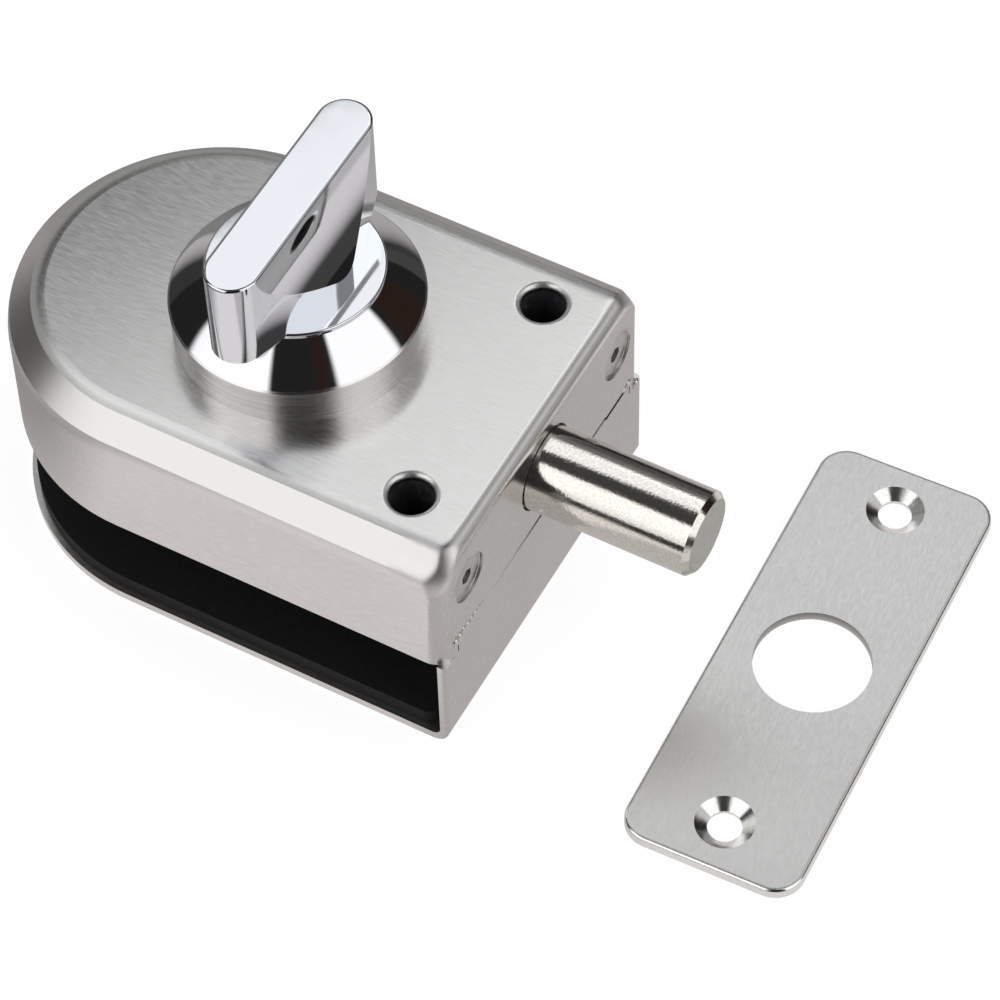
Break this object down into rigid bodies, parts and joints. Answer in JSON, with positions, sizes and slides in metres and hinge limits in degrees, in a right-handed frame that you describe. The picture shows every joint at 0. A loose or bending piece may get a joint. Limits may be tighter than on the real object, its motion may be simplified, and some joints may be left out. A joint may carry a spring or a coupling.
{
  "type": "glass door bolt lock",
  "caption": "Clamp-on bolt lock for a frameless glass door: D-shaped steel body with a slot for the glass, thumb-turn knob, round sliding bolt and a separate strike plate.",
  "frame": {"origin": "centre of the body's round end, on the underside of the back plate", "axes": "+X along the throw of the bolt, +Z from the back plate up through the knob, +Y across the body"},
  "size_m": [0.1512, 0.0832, 0.0752],
  "materials": {
    "brushed_sheet": "brushed stainless sheet, grain along the bolt",
    "black_rubber": "matt black rubber",
    "screw_steel": "plain steel",
    "cast_case": "die-cast, as cast",
    "bush_bronze": "plain bronze",
    "zinc_plated_sheet": "zinc plated steel",
    "satin_ring": "satin turned steel",
    "polished_chrome": "mirror chrome plate",
    "spindle_steel": "bright turned steel",
    "washer_nylon": "natural nylon",
    "black_screw": "blackened steel",
    "nickel_plate": "nickel plate over drawn bar, fine lines along the bolt",
    "polished_sheet": "polished stainless sheet, grain along its length"
  },
  "bodies": {
    "lock_body": {"back_plate": "brushed_sheet", "lower_pad": "black_rubber", "edge_pad": "black_rubber", "cover": "brushed_sheet", "end_screws": "screw_steel", "lock_case": "cast_case", "bolt_bush": "bush_bronze", "case_lid": "zinc_plated_sheet", "lid_screws": "screw_steel", "rosette_ring": "satin_ring", "rosette_screws": "screw_steel", "rosette_dome": "polished_chrome", "strike_plate": "polished_sheet"},
    "thumb_turn": {"knob": "polished_chrome", "spindle": "spindle_steel", "pinion": "bush_bronze", "friction_washer": "washer_nylon", "spindle_clip": "black_screw"},
    "sliding_bolt": {"bolt": "nickel_plate", "rack": "zinc_plated_sheet", "rack_screw": "screw_steel"},
    "clamp": {"pressure_plate": "zinc_plated_sheet", "upper_pad": "black_rubber", "guide_pins": "spindle_steel"},
    "near_screw": {"clamp_screw_near": "black_screw"},
    "far_screw": {"clamp_screw_far": "black_screw"}
  },
  "joints": [
    {"name": "knob_turn", "type": "hinge", "parent": "lock_body", "child": "thumb_turn", "pos_m": [0.0162, 0, 0.06], "axis": [0, 0, 1], "range_deg": [0, 180]},
    {"name": "bolt_slide", "type": "slide", "parent": "lock_body", "child": "sliding_bolt", "axis": [1, 0, 0], "range_m": [-0.027, 0]},
    {"name": "clamp_close", "type": "slide", "parent": "lock_body", "child": "clamp", "axis": [0, 0, -1], "range_m": [0, 0.005]},
    {"name": "near_screw_turn", "type": "hinge", "parent": "clamp", "child": "near_screw", "pos_m": [0.0476, -0.0208, 0.028], "axis": [0, 0, 1], "range_deg": [-1440, 0]},
    {"name": "far_screw_turn", "type": "hinge", "parent": "clamp", "child": "far_screw", "pos_m": [0.0476, 0.0208, 0.028], "axis": [0, 0, 1], "range_deg": [-1440, 0]}
  ],
  "couplings": [
    {"joint": "knob_turn", "follows": "bolt_slide", "rad_per_m": -116.36},
    {"joint": "near_screw_turn", "follows": "clamp_close", "rad_per_m": -5026.5},
    {"joint": "far_screw_turn", "follows": "clamp_close", "rad_per_m": -5026.5}
  ]
}
